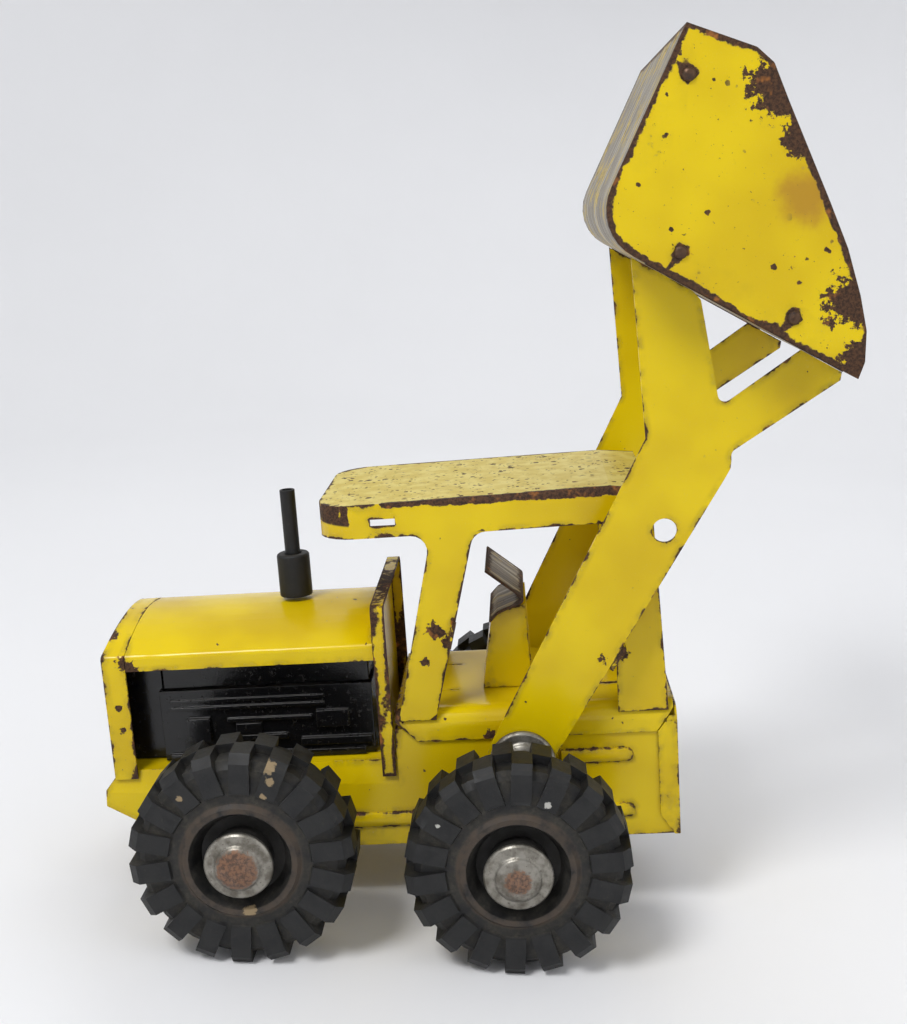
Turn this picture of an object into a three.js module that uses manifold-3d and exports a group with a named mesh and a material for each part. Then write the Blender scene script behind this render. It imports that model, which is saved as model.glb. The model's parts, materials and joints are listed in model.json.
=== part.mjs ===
// Pressed-steel toy wheel loader: a nose-down tractor with a cab, and a lift arm pair that carries a riveted bucket.
// Millimetres, +Z up. The radiator end faces -X, the raised bucket hangs over the +X end, and Y = 0 is the mid-plane.
import * as THREE from "three";
import { mergeVertices } from "three/addons/utils/BufferGeometryUtils.js";
import Module from "manifold-3d";

const wasm = await Module();
wasm.setup();

// ---- driving dimensions -------------------------------------------------------------------------------------------

const sheet = 1.0; // steel thickness of every pressing
const gap = 0.35; // space left between touching pieces
const wheelRadius = 48;
const frontAxle = { x: -45.8, z: 52.1 }; // tractor frame, as are all x and z below
const rearAxle = { x: 70.9, z: 42.1 };
const armPivot = { x: 74.5, z: 72.0 };
const rodRadius = 3.0; // axles and pivot shaft
const boreRadius = rodRadius + gap;
const round = 24; // sides of a rod, a bore or a rivet

const bodyHalf = 44.0; // outer face of the chassis sides
const chassis = { front: -120.4, step: 17.0, rear: 143.4, bottom: 28.2, crease: 59.0, sill: 69.3, sideTop: 84.6 };
const sillHalf = 41.5; // half width of the chassis roof under the engine
const ribProud = 1.8;
const deck = { half: 45.4, top: 93.0, shoulder: 8.0, front: 17.6, rear: 143.3, flangeFoot: 78.7 };
const endPlate = { inner: 143.8, flangeStart: 136.0, foot: 28.4, top: 90.2 };
const bulkhead = { half: 45.8, front: 10.0, depth: 6.3, foot: 62.6, plateFoot: 69.7, top: 143.8 };
const bonnet = { half: 44.2, edge: 118.2, crease: 125.4, archRadius: 92, lean: 1.95, leanStart: -95, front: -103.7, rear: 9.7 };
const radiator = { front: -114.7, rear: -104.0, legFoot: 66.0, plateFoot: 69.8 };
const cab = { half: 46.2, edgeRadius: 4.0, cornerRadius: 17, front: -10.7 };
const tyre = { inner: 74.5, lugs: 18, lugWidth: 8.6, bossFace: 30.6 };
const arm = { outer: 64.6, splayAngle: THREE.MathUtils.degToRad(3.56), holeRadius: 5.2, endRadius: 14, endX: 72.9, endZ: 73.0 };
const bucket = { half: 91.0, corner: 20, flange: 14 };
const cap = { rim: 14.8, domeRadius: 9.9, height: 6.6, wall: 0.9 };

const pitch = Math.atan2(frontAxle.z - rearAxle.z, rearAxle.x - frontAxle.x);

// ---- looks --------------------------------------------------------------------------------------------------------

const finish = (color, roughness, metalness) => ({ color, roughness, metalness });
const yellow = finish(0xd2b40a, 0.45, 0.1);
const wornSteel = finish(0x6f6257, 0.55, 0.8);
const zinc = finish(0x9a9a92, 0.4, 0.9);
const rubber = finish(0x1e1f20, 0.85, 0);
const blackMoulding = finish(0x101112, 0.35, 0);

const tractor = new THREE.Group();

function place(name, geometry, look) {
  const mesh = new THREE.Mesh(geometry, new THREE.MeshStandardMaterial(look));
  mesh.name = name;
  tractor.add(mesh);
  return mesh;
}

// ---- solids -------------------------------------------------------------------------------------------------------

function solid(source) {
  const bare = source.clone();
  bare.deleteAttribute("normal");
  bare.deleteAttribute("uv");
  const merged = mergeVertices(bare, 1e-4);
  return new wasm.Manifold(
    new wasm.Mesh({
      numProp: 3,
      vertProperties: new Float32Array(merged.attributes.position.array),
      triVerts: new Uint32Array(merged.index.array),
    }),
  );
}

function geometryOf(body) {
  const mesh = body.getMesh();
  const positions = new Float32Array(mesh.numVert * 3);
  for (let i = 0; i < mesh.numVert; i++) {
    positions.set(mesh.vertProperties.subarray(i * mesh.numProp, i * mesh.numProp + 3), i * 3);
  }
  const geometry = new THREE.BufferGeometry();
  geometry.setAttribute("position", new THREE.BufferAttribute(positions, 3));
  geometry.setIndex(new THREE.BufferAttribute(new Uint32Array(mesh.triVerts), 1));
  return geometry;
}

const union = (first, ...others) => others.reduce((sum, next) => sum.add(next), first);
const cut = (first, ...others) => others.reduce((rest, next) => rest.subtract(next), first);

// An outline as a closed prism. Side outlines are [x, z] and run across y, front outlines are [y, z] and run along x,
// and plan outlines are [x, y] and run up z.
const shapeOf = (points) => new THREE.Shape(points.map(([a, b]) => new THREE.Vector2(a, b)));

function sidePrism(points, y0, y1) {
  const geometry = new THREE.ExtrudeGeometry(shapeOf(points), { depth: y1 - y0, bevelEnabled: false });
  return solid(geometry.rotateX(Math.PI / 2).translate(0, y1, 0));
}

function frontPrism(points, x0, x1) {
  const geometry = new THREE.ExtrudeGeometry(shapeOf(points), { depth: x1 - x0, bevelEnabled: false });
  const turn = new THREE.Matrix4().makeBasis(
    new THREE.Vector3(0, 1, 0),
    new THREE.Vector3(0, 0, 1),
    new THREE.Vector3(1, 0, 0),
  );
  return solid(geometry.applyMatrix4(turn).translate(x0, 0, 0));
}

function planPrism(points, z0, z1) {
  const geometry = new THREE.ExtrudeGeometry(shapeOf(points), { depth: z1 - z0, bevelEnabled: false });
  return solid(geometry.translate(0, 0, z0));
}

const block = (x0, x1, y0, y1, z0, z1) => planPrism([[x0, y0], [x1, y0], [x1, y1], [x0, y1]], z0, z1);

// A rod or a bore along y.
function crossRod(x, z, radius, y0, y1, sides = round) {
  const geometry = new THREE.CylinderGeometry(radius, radius, y1 - y0, sides);
  return solid(geometry.translate(x, (y0 + y1) / 2, z));
}

// A turned piece: [radius, height] points from the axis round to the axis, or closed on themselves.
function turned(points, sides = round) {
  return new THREE.LatheGeometry(points.map(([r, h]) => new THREE.Vector2(r, h)), sides);
}

// A turned piece with its axis across the tractor: heights run outwards from y0 on the left (-1) or right (+1) side.
function turnedAcross(points, x, z, y0, side, sides = round) {
  const geometry = turned(points, sides);
  if (side < 0) geometry.rotateX(Math.PI);
  return geometry.translate(x, side * y0, z);
}

function mirrored(body) {
  const geometry = geometryOf(body);
  geometry.scale(1, -1, 1);
  const index = geometry.index.array;
  for (let i = 0; i < index.length; i += 3) [index[i + 1], index[i + 2]] = [index[i + 2], index[i + 1]];
  return solid(geometry);
}

// ---- outlines -----------------------------------------------------------------------------------------------------

function arc(cx, cz, radius, from, to, steps) {
  return Array.from({ length: steps + 1 }, (_, i) => {
    const angle = THREE.MathUtils.degToRad(from + ((to - from) * i) / steps);
    return [cx + radius * Math.cos(angle), cz + radius * Math.sin(angle)];
  });
}

// Rounds the corners of a path. Each point is [a, b] for a sharp corner or [a, b, radius].
function rounded(points, closed = true, steps = 5) {
  const count = points.length;
  return points.flatMap(([a, b, radius = 0], i) => {
    if (!radius || (!closed && (i === 0 || i === count - 1))) return [[a, b]];
    const corner = new THREE.Vector2(a, b);
    const [before, after] = [points[(i + count - 1) % count], points[(i + 1) % count]];
    const toBefore = new THREE.Vector2(before[0], before[1]).sub(corner).normalize();
    const toAfter = new THREE.Vector2(after[0], after[1]).sub(corner).normalize();
    const half = Math.acos(THREE.MathUtils.clamp(toBefore.dot(toAfter), -1, 1)) / 2;
    const reach = radius / Math.tan(half);
    const centre = toBefore.clone().add(toAfter).normalize().multiplyScalar(radius / Math.sin(half)).add(corner);
    const start = toBefore.multiplyScalar(reach).add(corner).sub(centre);
    const end = toAfter.multiplyScalar(reach).add(corner).sub(centre);
    const sweep = Math.atan2(start.cross(end), start.dot(end));
    return Array.from({ length: steps + 1 }, (_, k) => {
      const spoke = start.clone().rotateAround(new THREE.Vector2(), (sweep * k) / steps).add(centre);
      return [spoke.x, spoke.y];
    });
  });
}

// A bent strip's outline: the path is one face, and the other face lies a thickness to its left.
function strip(path, thickness = sheet) {
  const points = path.map(([a, b]) => new THREE.Vector2(a, b));
  const normalAt = (i) => {
    const along = points[i + 1].clone().sub(points[i]).normalize();
    return new THREE.Vector2(-along.y, along.x);
  };
  const back = points.map((point, i) => {
    const before = normalAt(Math.max(i - 1, 0));
    const after = normalAt(Math.min(i, points.length - 2));
    const mitre = before.clone().add(after).normalize();
    return mitre.multiplyScalar(thickness / mitre.dot(before)).add(point);
  });
  return [...path, ...back.reverse().map((p) => [p.x, p.y])];
}

const bothSides = (half) => [...half.map(([y, z]) => [-y, z]), ...[...half].reverse()];

// ---- chassis, deck and end plate ----------------------------------------------------------------------------------

function chassisSolid() {
  const { front, step, rear, bottom, crease, sill, sideTop } = chassis;
  const noseProfile = [
    [front, 53.0], [front + 0.5, 60.7], [-115.2, 66.5], [-112.0, sill],
    [step, sill], [step, sideTop], [rear, sideTop], [rear, bottom], [-78.0, bottom],
  ];
  const outerSide = sidePrism(noseProfile, -bodyHalf, bodyHalf);
  const noseSection = (inset, foot) => [
    [-bodyHalf + inset, foot], [-bodyHalf + inset, crease], [-sillHalf + inset, sill - inset],
    [sillHalf - inset, sill - inset], [bodyHalf - inset, crease], [bodyHalf - inset, foot],
  ];
  const outer = outerSide.intersect(
    union(
      frontPrism(noseSection(0, 0), front - 1, step + 0.5),
      block(step, rear + 1, -bodyHalf, bodyHalf, 0, sideTop),
    ),
  );
  const innerNose = sidePrism(
    [
      [front + sheet, -10], [front + sheet, 53.0], [front + 0.5 + sheet, 60.2],
      [-114.5, 65.7], [-111.6, sill - sheet], [step + 2, sill - sheet], [step + 2, -10],
    ],
    -bodyHalf,
    bodyHalf,
  ).intersect(frontPrism(noseSection(sheet, -10), front - 1, step + 2));
  const innerRear = block(step + sheet, rear + 5, sheet - bodyHalf, bodyHalf - sheet, -10, sideTop + 10);
  const bores = [frontAxle, rearAxle, armPivot].map(({ x, z }) => crossRod(x, z, boreRadius, -60, 60));
  const ribs = [-1, 1].flatMap((side) => [
    rib(side, -96, 124.5, 40.8),
    rib(side, 92, 124.5, 68.0),
  ]);
  return cut(union(outer, ...ribs), innerNose, innerRear, ...bores);
}

// A rounded rib pressed outwards along the side, with round ends.
function rib(side, x0, x1, z) {
  const [halfHeight, steps] = [3.6, 6];
  const plan = (out) => rounded([[x0, -out], [x1, -out, out - 0.1], [x1, out, out - 0.1], [x0, out]], true, 3);
  const bar = frontPrism(
    Array.from({ length: steps + 1 }, (_, i) => {
      const angle = (Math.PI * i) / steps;
      return [side * (bodyHalf - 0.2 + (ribProud + 0.2) * Math.sin(angle)), z - side * halfHeight * Math.cos(angle)];
    }),
    x0,
    x1,
  );
  return bar.intersect(sidePrism(plan(halfHeight).map(([x, dz]) => [x, z + dz]), -60, 60));
}

function deckSolid() {
  const { half, top, shoulder, front, rear, flangeFoot } = deck;
  const outer = [[half, flangeFoot], ...arc(half - shoulder, top - shoulder, shoulder, 0, 90, 6)];
  const shell = frontPrism(strip([...outer, ...[...outer].reverse().map(([y, z]) => [-y, z])]), front, rear);
  const foreCorner = sidePrism([[front - 1, 70], [28.0, 70], [28.0, 78.2], [front - 1, 89.2]], -60, 60);
  const mitre = sidePrism([[endPlate.flangeStart, 70], [146, 70], [146, 91.5], [143.6, 90.0], [135.6, 79.0]], -60, 60);
  const slots = [[31, 46], [112, 120]].flatMap(([x0, x1]) =>
    [-18, 18].map((y) => block(x0, x1, y - 0.5, y + 0.5, top - 5, top + 5)),
  );
  return cut(shell, foreCorner, mitre, ...slots);
}

function endPlateSolid() {
  const { inner, flangeStart, foot, top } = endPlate;
  const half = deck.half;
  const plan = strip([[flangeStart, -half], [inner + sheet, -half], [inner + sheet, half], [flangeStart, half]]);
  const sideOutline = [
    [flangeStart, 38.0], [142.2, foot], [150, foot], [150, top], [144.4, top],
    [143.9, 89.3], [flangeStart + 0.5, 79.2], [flangeStart, 79.2],
  ];
  const tuck = union(
    sidePrism(sideOutline, -60, 60),
    block(inner - 0.1, 150, 1 - bodyHalf, bodyHalf - 1, foot, top),
  );
  const shoulderTrim = bothSides([
    [half, foot - 5], [half, top - 6.5], ...arc(half - 7, top - 7, 6.6, 0, 90, 5),
  ]);
  return planPrism(plan, foot, top).intersect(tuck).intersect(frontPrism(shoulderTrim, 100, 160));
}

// ---- bonnet, radiator, bulkhead and engine ------------------------------------------------------------------------

// Half of the arched bonnet section, from the foot of its side up to the crown.
function archHalf(foot) {
  const { half, crease, archRadius } = bonnet;
  const tilt = THREE.MathUtils.radToDeg(Math.asin(half / archRadius));
  const centre = crease - archRadius * Math.cos(THREE.MathUtils.degToRad(tilt));
  const crown = arc(0, centre, archRadius, 90 - tilt, 90, 8);
  const eased = rounded([[half, foot], [half, crease, 3], crown[2]], false, 4);
  return [...eased.slice(0, -1), ...crown.slice(2)];
}

const archPath = (foot) => {
  const half = archHalf(foot);
  return [...half, ...half.slice(0, -1).reverse().map(([y, z]) => [-y, z])];
};

// The radiator and the front edge of the bonnet lean back above the shoulder.
function leanBack(geometry) {
  const { lean, leanStart, crease } = bonnet;
  const position = geometry.attributes.position;
  for (let i = 0; i < position.count; i++) {
    const rise = Math.max(0, position.getZ(i) - crease) / crease;
    const reach = THREE.MathUtils.clamp(leanStart - position.getX(i), 0, leanStart - radiator.front);
    position.setX(i, position.getX(i) + lean * rise * reach);
  }
  return geometry;
}

function radiatorSolid() {
  const { front, rear, legFoot, plateFoot } = radiator;
  const { half, crease } = bonnet;
  const leaning = (body) => solid(leanBack(geometryOf(body)));
  const shell = leaning(frontPrism(strip(archPath(legFoot)), front, rear));
  const brow = leaning(frontPrism(archPath(crease - 5).filter(([, z]) => z >= crease - 1.5), front, front + sheet));
  const plate = frontPrism(
    [[half, plateFoot], [half, crease - 1], [-half, crease - 1], [-half, plateFoot]],
    front,
    front + sheet,
  );
  const window = frontPrism(rounded([[-34, 78, 5], [34, 78, 5], [34, 123, 8], [-34, 123, 8]]), front - 5, front + 5);
  return union(shell, cut(plate, window), brow);
}

function grilleSolid() {
  const back = frontPrism(rounded([[-38, 73, 3], [38, 73, 3], [38, 125.5, 6], [-38, 125.5, 6]], true, 3), -113.3, -112.3);
  const bars = Array.from({ length: 7 }, (_, i) => {
    const z = 83 + i * 6;
    return frontPrism([[-32, z - 1.2], [32, z - 1.2], [32, z + 1.2], [-32, z + 1.2]], -114.3, -112.8);
  });
  return union(back, ...bars);
}

function bulkheadSolid() {
  const { half, front, depth, foot, plateFoot, top } = bulkhead;
  const outline = (inset, low) => [
    [inset - half, low], [half - inset, low],
    [half - inset, top - inset, 4 - inset], [inset - half, top - inset, 4 - inset],
  ];
  const pan = cut(
    frontPrism(rounded(outline(0, foot)), front, front + depth),
    frontPrism(rounded(outline(sheet, foot - 10)), front + sheet, front + depth + 5),
  );
  return cut(pan, block(front - 1, front + depth + 1, sheet - half, half - sheet, foot - 5, plateFoot));
}

function engineBlockSolid() {
  const body = block(-93, 6.5, -33, 33, 69.8, 104);
  const fanHousing = block(-111.6, -92, -29, 29, 69.8, 116);
  const sump = block(-90, 2, -35, 35, 69.8, 73);
  const relief = [
    [-88, -16, 98, 99.6, 1.2], [-88, -16, 94.4, 96, 1.4], [-62, -22, 88.2, 89.8, 1.6], [-60, -34, 79, 81.5, 2.2],
    [-28, 5.5, 75.5, 79, 2.6], [-20, -5, 84, 92, 2.2], [-81, -70, 79, 90.5, 2.4], [-58, -46, 82, 87, 1.6],
  ];
  const raised = [-1, 1].flatMap((side) =>
    relief.map(([u0, u1, z0, z1, proud]) => block(u0, u1, side * 33 - proud, side * 33 + proud, z0, z1)),
  );
  return union(body, fanHousing, sump, ...raised);
}

function engineHeadSolid() {
  const head = block(-91, 5.5, -31, 31, 104.4, 117.4);
  const cover = frontPrism(rounded([[-12, 117], [12, 117], [12, 127, 4], [-12, 127, 4]], true, 3), -82, -4);
  return union(head, cover);
}

function exhaustPieces() {
  const [x, foot, collarTop, tip] = [-30.2, 138.6, 159.2, 190.0];
  const collar = turned([[0, foot], [7.8, foot], [7.8, collarTop - 0.8], [7.0, collarTop], [4.0, collarTop],
    [4.0, 146], [0, 146]]);
  const pipe = turned([[0, 146.4], [3.6, 146.4], [3.6, tip], [2.5, tip], [2.5, tip - 7], [0, tip - 7]]);
  for (const piece of [collar, pipe]) piece.rotateX(Math.PI / 2).translate(x, 0, 0);
  return { collar, pipe };
}

// ---- cab ----------------------------------------------------------------------------------------------------------

const roofTop = { front: 189.9, fold: 192.6, foldX: 119, rear: 190.6, rearX: 136.4 };

function canopySolid() {
  const { half, edgeRadius, cornerRadius, front } = cab;
  const foot = 89.2;
  const outline = (inset) => [
    [front + inset, 60], [front + inset, roofTop.front - inset], [roofTop.foldX, roofTop.fold - inset],
    [roofTop.rearX + (inset ? 5 : 0), roofTop.rear - inset], [inset ? 150 : 142.3, 60],
  ];
  const crossSection = (inset, low) =>
    rounded([
      [inset - half, low], [half - inset, low],
      [half - inset, 193 - inset, edgeRadius - inset], [inset - half, 193 - inset, edgeRadius - inset],
    ], true, 4);
  const plan = (inset) =>
    rounded([
      [front + inset, inset - half, cornerRadius - inset], [160, inset - half],
      [160, half - inset], [front + inset, half - inset, cornerRadius - inset],
    ], true, 6);
  const form = (inset, low) =>
    sidePrism(outline(inset), -60, 60)
      .intersect(frontPrism(crossSection(inset, low), -20, 150))
      .intersect(planPrism(plan(inset), low, 200));
  const shell = cut(form(0, foot), form(sheet, foot - 10));
  const windows = sidePrism(
    rounded([[36.6, 80], [36.6, 90], [58.5, 175.5, 7], [116.6, 176.6, 4], [118.6, 120], [118.6, 80]]),
    -60,
    60,
  );
  const underFront = sidePrism(
    rounded([[-40, 80], [17.0, 80], [19.5, 89.6], [39.6, 175.4, 7], [-40, 174.8]]),
    -60,
    60,
  );
  const rearOpening = block(120, 160, 4 - half, half - 4, 60, 184.5);
  const slots = [-1, 1].map((side) => block(13.5, 24.5, side * half - 3, side * half + 3, 180.6, 183.6));
  return cut(shell, windows, underFront, rearOpening, ...slots);
}

// The bent-out ears of the cab pillars: the rear one is the stop that the raised arm leans on.
function stopEar(side) {
  const ear = sidePrism([[114.8, 113.6], [116.3, 112.7], [122.4, 122.7], [120.9, 123.6]], cab.half - sheet, 58);
  return side > 0 ? ear : mirrored(ear);
}

function pillarEar(side) {
  const ear = sidePrism([[44.0, 124.5], [45.6, 124.0], [48.4, 134.6], [46.8, 135.4]], cab.half - sheet, 51.5);
  return side > 0 ? ear : mirrored(ear);
}

function seatSolid() {
  const insideOfFold = [
    [61.4, 150.9], [79.0, 136.4, 1.4], [71.0, 133.4, 5], [66.0, 131.4, 3], [62.0, 127.2],
  ];
  return sidePrism(strip(rounded(insideOfFold, false, 4)), -23, 23);
}

// A channel that is open towards the rear of the cab.
function riserSolid() {
  const outer = [[57.5, 93.4], [80.4, 93.4], [79.2, 133.7], [71.0, 131.4], [66.2, 129.0], [62.8, 125.6]];
  const inner = sidePrism([[58.5, 83.0], [90, 83.0], [90, 140.0], [65.2, 140.0], [63.8, 125.3]], -17.5, 17.5);
  return cut(sidePrism(outer, -18.5, 18.5), inner);
}

// ---- wheels and rods ----------------------------------------------------------------------------------------------

function tyreSolid() {
  const carcass = solid(
    turned([
      [boreRadius, 0], [35, 0], [44.2, 4], [44.2, 24], [41, 27], [26, 27.8], [24.4, 29.4], [22, 29.2],
      [18, 21.5], [13, 21.5], [13, tyre.bossFace], [boreRadius, tyre.bossFace], [boreRadius, 0],
    ], 36),
  );
  const outerLug = [
    [29.6, 27.0], [30.6, 28.9], [44.2, 29.6], [wheelRadius, 26.4], [wheelRadius, 14.6], [43.4, 14.6], [43.4, 23],
  ];
  const innerLug = [[43.4, 15.6], [wheelRadius, 15.6], [wheelRadius, 3.4], [43.4, 1.4]];
  const row = (outline, phase) => {
    const lug = new THREE.ExtrudeGeometry(shapeOf(outline), { depth: tyre.lugWidth, bevelEnabled: false });
    lug.translate(0, 0, -tyre.lugWidth / 2);
    return Array.from({ length: tyre.lugs }, (_, i) =>
      solid(lug.clone().rotateY((2 * Math.PI * (i + phase)) / tyre.lugs + Math.PI / 2)),
    );
  };
  return union(carcass, ...row(outerLug, 0), ...row(innerLug, 0.5));
}

const tyreForm = geometryOf(tyreSolid());

function capGeometry(x, z, y0, side) {
  const { rim, domeRadius, height, wall } = cap;
  return turnedAcross(
    [[0, height - wall], [7.6, 3.6], [9.0, 2.6], [13.4, 0], [rim, 0], [rim, 1.5], [13.8, 2.6],
      [domeRadius, 3.7], [7.8, 5.5], [4.4, height - 0.3], [0, height]],
    x, z, y0, side, 20,
  );
}

function addWheel(end, side, label, axle) {
  const wheel = place(`tyre_${end}_${label}`, tyreForm.clone(), rubber);
  if (side < 0) wheel.geometry.rotateX(Math.PI);
  wheel.geometry.rotateY(pitch);
  wheel.geometry.translate(axle.x, side * tyre.inner, axle.z);
  const boss = tyre.inner + tyre.bossFace;
  place(`hub_cap_${end}_${label}`, capGeometry(axle.x, axle.z, boss + gap, side), zinc);
  const [near, far] = [bodyHalf + ribProud + gap, tyre.inner - gap];
  place(
    `axle_spacer_${end}_${label}`,
    turnedAcross([[boreRadius, near], [5.4, near], [5.4, far], [boreRadius, far], [boreRadius, near]],
      axle.x, axle.z, 0, side),
    wornSteel,
  );
}

// ---- lift arms ----------------------------------------------------------------------------------------------------

const bend = [[133.2, 215.8], [168.3, 205.0]]; // the arm is bent inwards below this line
const backWall = [[129.8, 290.9], [213.4, 239.5]]; // outer face of the bucket's back wall, which the arms meet

function pointOnWall(x, offset) {
  const [[x0, z0], [x1, z1]] = backWall;
  return [x, z0 + ((z1 - z0) * (x - x0)) / (x1 - x0) - offset];
}

function armSolid() {
  const gapBelow = 0.5;
  const fork = rounded([
    bend[0], bend[1], [168.3, 208.4, 3], [213.0, 235.6], pointOnWall(213.6, gapBelow), pointOnWall(197.2, gapBelow),
    [164.0, 227.4, 3], [157.4, 271.6, 2], pointOnWall(154.0, gapBelow), pointOnWall(129.8, gapBelow), [132.6, 232, 30],
  ]);
  const shank = [
    bend[0],
    ...arc(arm.endX, arm.endZ, arm.endRadius, 152, 328, 10),
    [165.4, 197.0], [167.9, 201.4], bend[1],
  ];
  const [from, to] = bend;
  const axis = new THREE.Vector3(to[0] - from[0], 0, to[1] - from[1]).normalize();
  const tilt = new THREE.Matrix4()
    .makeTranslation(from[0], arm.outer, from[1])
    .multiply(new THREE.Matrix4().makeRotationAxis(axis, -arm.splayAngle))
    .multiply(new THREE.Matrix4().makeTranslation(-from[0], -arm.outer, -from[1]));
  const upper = sidePrism(fork, arm.outer - sheet, arm.outer);
  const lower = solid(geometryOf(sidePrism(shank, arm.outer - sheet, arm.outer)).applyMatrix4(tilt));
  const pivotBore = crossRod(armPivot.x, armPivot.z, boreRadius, 0, 80);
  const lighteningHole = crossRod(140.0, 175.9, arm.holeRadius, 0, 80, 32);
  return cut(union(upper, lower), pivotBore, lighteningHole);
}

// ---- bucket -------------------------------------------------------------------------------------------------------

const bucketCorner = [112.6, 301.5]; // where the back wall and the floor would meet if they were not rounded
const lipTop = [151.0, 375.4];
const bucketTip = [213.4, 239.5];
const rivetSpots = [[151.3, 356.9], [146.5, 292.2], [189.1, 264.7]];
const rivetHole = 1.6;

function bucketWrapSolid() {
  const { half, corner, flange } = bucket;
  const face = rounded([bucketTip, [...bucketCorner, corner], lipTop], false, 8);
  const wrap = sidePrism(strip([...face].reverse()), -half, half);
  const inset = (fromPoint, toPoint, start, end, width) => {
    const along = new THREE.Vector2(toPoint[0] - fromPoint[0], toPoint[1] - fromPoint[1]).normalize();
    const into = new THREE.Vector2(along.y, -along.x);
    const at = (s, w) => [
      fromPoint[0] + along.x * s + into.x * w,
      fromPoint[1] + along.y * s + into.y * w,
    ];
    return [at(start, 0.5), at(end, 0.5), at(end - 4, width), at(start + 4, width)];
  };
  const backFlange = inset(bucketCorner, bucketTip, 24, 112, -flange);
  const floorFlange = inset(bucketCorner, lipTop, 24, 78, flange);
  const flanges = [backFlange, floorFlange].map((outline) => {
    const clockwise = THREE.ShapeUtils.isClockWise(outline.map(([a, b]) => new THREE.Vector2(a, b)));
    return clockwise ? [...outline].reverse() : outline;
  });
  const ears = [-1, 1].flatMap((side) =>
    flanges.map((outline) => (side > 0 ? sidePrism(outline, half - 0.9, half) : sidePrism(outline, -half, 0.9 - half))),
  );
  const holes = rivetSpots.map(([x, z]) => crossRod(x, z, rivetHole, -100, 100, 16));
  return cut(union(wrap, ...ears), ...holes);
}

function bucketSideSolid(side) {
  const outline = rounded([
    [...bucketTip], [...bucketCorner, bucket.corner], [...lipTop], [176.6, 364.9, 3], [182.8, 359.0, 3],
    [188.2, 344.6], [203.1, 307.0], [209.6, 289.6], [214.3, 271.5], [216.6, 258.0, 6], [216.0, 246.0, 4],
  ], true, 6).reverse();
  const inner = bucket.half + gap;
  const plate = side > 0 ? sidePrism(outline, inner, inner + sheet) : sidePrism(outline, -inner - sheet, -inner);
  return cut(plate, ...rivetSpots.map(([x, z]) => crossRod(x, z, rivetHole, -100, 100, 16)));
}

function rivetGeometry(x, z, side) {
  const head = bucket.half + gap + sheet + 0.2;
  const tail = bucket.half - 0.9 - 0.2;
  return turnedAcross(
    [[0, tail - 0.8], [1.7, tail - 0.8], [2.0, tail], [1.2, tail], [1.2, head], [2.7, head], [2.5, head + 0.7],
      [1.5, head + 1.4], [0, head + 1.6]],
    x, z, 0, side, 16,
  );
}

// ---- assembly -----------------------------------------------------------------------------------------------------

place("chassis", geometryOf(chassisSolid()), yellow);
place("deck", geometryOf(deckSolid()), yellow);
place("rear_end_plate", geometryOf(endPlateSolid()), yellow);
const bonnetSheet = frontPrism(strip(archPath(bonnet.edge)), bonnet.front, bonnet.rear);
place("bonnet", leanBack(geometryOf(bonnetSheet)), yellow);
place("radiator_shell", geometryOf(radiatorSolid()), yellow);
place("radiator_grille", geometryOf(grilleSolid()), blackMoulding);
place("bulkhead", geometryOf(bulkheadSolid()), yellow);
place("engine_block", geometryOf(engineBlockSolid()), blackMoulding);
place("engine_head", geometryOf(engineHeadSolid()), blackMoulding);
const exhaust = exhaustPieces();
place("exhaust_collar", exhaust.collar, blackMoulding);
place("exhaust_pipe", exhaust.pipe, blackMoulding);
const ears = [-1, 1].flatMap((side) => [stopEar(side), pillarEar(side)]);
place("cab_canopy", geometryOf(union(canopySolid(), ...ears)), yellow);
place("seat", geometryOf(seatSolid()), wornSteel);
place("seat_riser", geometryOf(riserSolid()), yellow);

for (const [end, axle] of [["front", frontAxle], ["rear", rearAxle]]) {
  const reach = tyre.inner + tyre.bossFace + 2.2;
  place(`axle_${end}`, geometryOf(crossRod(axle.x, axle.z, rodRadius, -reach, reach)), zinc);
  addWheel(end, -1, "left", axle);
  addWheel(end, 1, "right", axle);
}

const armRight = armSolid();
place("arm_right", geometryOf(armRight), yellow);
place("arm_left", geometryOf(mirrored(armRight)), yellow);
place("arm_pivot_shaft", geometryOf(crossRod(armPivot.x, armPivot.z, rodRadius, -60, 60)), zinc);
place("bucket_wrap", geometryOf(bucketWrapSolid()), wornSteel);
for (const [side, label] of [[-1, "left"], [1, "right"]]) {
  place(`pivot_cap_${label}`, capGeometry(armPivot.x, armPivot.z, 57.2, side), zinc);
  const [near, far] = [bodyHalf + gap, 53.2];
  place(
    `pivot_spacer_${label}`,
    turnedAcross([[boreRadius, near], [6.0, near], [6.0, far], [boreRadius, far], [boreRadius, near]],
      armPivot.x, armPivot.z, 0, side),
    wornSteel,
  );
  place(`bucket_side_${label}`, geometryOf(bucketSideSolid(side)), yellow);
  rivetSpots.forEach(([x, z], i) => place(`rivet_${label}_${i + 1}`, rivetGeometry(x, z, side), wornSteel));
}

// The tractor stands nose-down on its four wheels, with its box centred over the origin.
tractor.rotation.y = -pitch;
tractor.position.z = wheelRadius - (rearAxle.x * Math.sin(pitch) + rearAxle.z * Math.cos(pitch));
const loader = new THREE.Group();
loader.add(tractor);
const bounds = new THREE.Box3().setFromObject(loader, true);
tractor.position.x = -(bounds.min.x + bounds.max.x) / 2;

export default loader;
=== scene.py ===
"""Looks of a worn pressed-steel toy wheel loader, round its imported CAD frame. Metres, +Z up, front at -X."""
import json
import math

import bmesh
import bpy
import numpy as np
from mathutils import Matrix, Vector, bvhtree


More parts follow.
